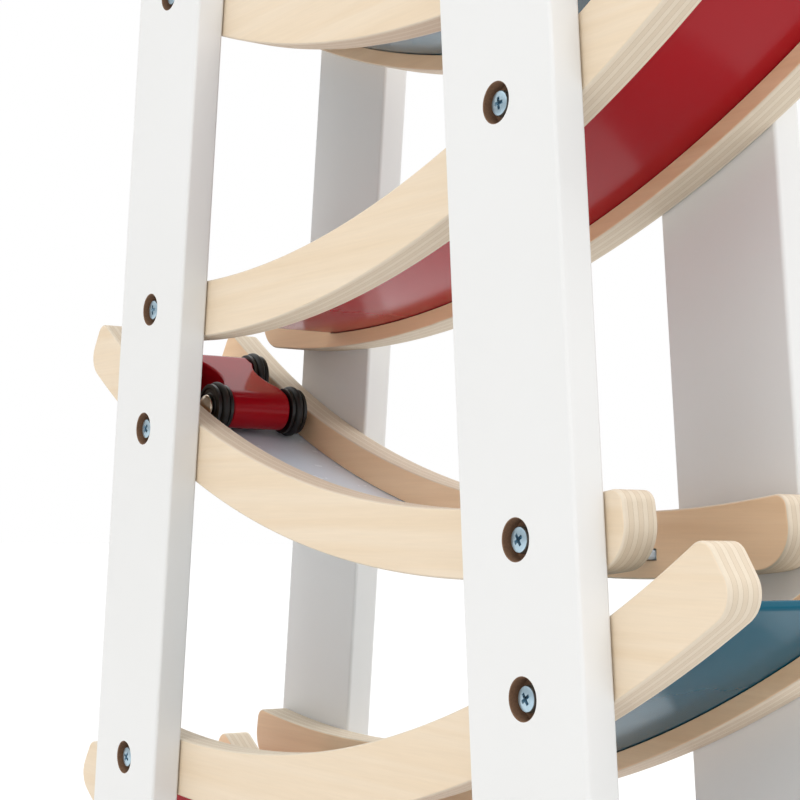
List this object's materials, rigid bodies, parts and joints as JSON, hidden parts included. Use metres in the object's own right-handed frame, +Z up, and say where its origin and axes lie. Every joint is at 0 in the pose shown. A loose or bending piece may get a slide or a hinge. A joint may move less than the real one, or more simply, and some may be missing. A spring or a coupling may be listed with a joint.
{
  "type": "toy car ramp tower",
  "caption": "Wooden toy-car tower: curved ramps with plywood rails and lacquered floors zig-zag between leaning white board legs, with a small car.",
  "frame": {"origin": "on the ground, in the middle of the tower's outer box", "axes": "+Z up; the odd ramps run down towards +X and the even ones towards -X; -Y is the front, whose leg screws the picture shows"},
  "size_m": [0.3658, 0.0916, 0.4599],
  "materials": {
    "white_lacquer": "white sprayed lacquer on solid wood, satin",
    "birch_plywood": "clear matt varnish on birch plywood, plies showing on the edges",
    "red_lacquer": "gloss lacquer on thin fibreboard",
    "pale_lacquer": "gloss lacquer on thin fibreboard",
    "teal_lacquer": "gloss lacquer on thin fibreboard",
    "car_lacquer": "high gloss lacquer on turned and cut beech",
    "zinc": "bright zinc plated",
    "axle_steel": "polished",
    "black_plastic": "moulded",
    "black_rubber": "satin O-ring"
  },
  "bodies": {
    "tower": {"leg_front_left": "white_lacquer", "leg_front_right": "white_lacquer", "leg_back_left": "white_lacquer", "leg_back_right": "white_lacquer", "foot_bar_left": "white_lacquer", "top_bar_left": "white_lacquer", "foot_bar_right": "white_lacquer", "top_bar_right": "white_lacquer", "ramp_1_rail_front": "birch_plywood", "ramp_1_rail_back": "birch_plywood", "ramp_1_floor": "red_lacquer", "ramp_1_screw_front_left": "zinc", "ramp_1_screw_front_right": "zinc", "ramp_1_screw_back_left": "zinc", "ramp_1_screw_back_right": "zinc", "ramp_2_rail_front": "birch_plywood", "ramp_2_rail_back": "birch_plywood", "ramp_2_floor": "teal_lacquer", "ramp_2_screw_front_left": "zinc", "ramp_2_screw_front_right": "zinc", "ramp_2_screw_back_left": "zinc", "ramp_2_screw_back_right": "zinc", "ramp_3_rail_front": "birch_plywood", "ramp_3_rail_back": "birch_plywood", "ramp_3_floor": "pale_lacquer", "ramp_3_screw_front_left": "zinc", "ramp_3_screw_front_right": "zinc", "ramp_3_screw_back_left": "zinc", "ramp_3_screw_back_right": "zinc", "ramp_4_rail_front": "birch_plywood", "ramp_4_rail_back": "birch_plywood", "ramp_4_floor": "red_lacquer", "ramp_4_screw_front_left": "zinc", "ramp_4_screw_front_right": "zinc", "ramp_4_screw_back_left": "zinc", "ramp_4_screw_back_right": "zinc", "ramp_5_rail_front": "birch_plywood", "ramp_5_rail_back": "birch_plywood", "ramp_5_floor": "teal_lacquer", "ramp_5_screw_front_left": "zinc", "ramp_5_screw_front_right": "zinc", "ramp_5_screw_back_left": "zinc", "ramp_5_screw_back_right": "zinc"},
    "car": {"car_body": "car_lacquer"},
    "front_wheelset": {"car_front_axle": "axle_steel", "car_front_hub_near": "black_plastic", "car_front_tyre_near": "black_rubber", "car_front_cap_near": "axle_steel", "car_front_hub_far": "black_plastic", "car_front_tyre_far": "black_rubber", "car_front_cap_far": "axle_steel"},
    "rear_wheelset": {"car_rear_axle": "axle_steel", "car_rear_hub_near": "black_plastic", "car_rear_tyre_near": "black_rubber", "car_rear_cap_near": "axle_steel", "car_rear_hub_far": "black_plastic", "car_rear_tyre_far": "black_rubber", "car_rear_cap_far": "axle_steel"}
  },
  "joints": [
    {"name": "car_roll", "type": "hinge", "parent": "tower", "child": "car", "pos_m": [0.0764, 0, 0.65661], "axis": [0, -1, 0], "range_deg": [-3, 26.5]},
    {"name": "front_wheel_spin", "type": "hinge", "parent": "car", "child": "front_wheelset", "pos_m": [-0.11103, 0, 0.24838], "axis": [0, 1, 0], "range_deg": [-147, 1259]},
    {"name": "rear_wheel_spin", "type": "hinge", "parent": "car", "child": "rear_wheelset", "pos_m": [-0.14137, 0, 0.26373], "axis": [0, 1, 0], "range_deg": [-147, 1259]}
  ],
  "couplings": [
    {"joint": "front_wheel_spin", "follows": "car_roll", "ratio": 47.34},
    {"joint": "rear_wheel_spin", "follows": "car_roll", "ratio": 47.34}
  ]
}
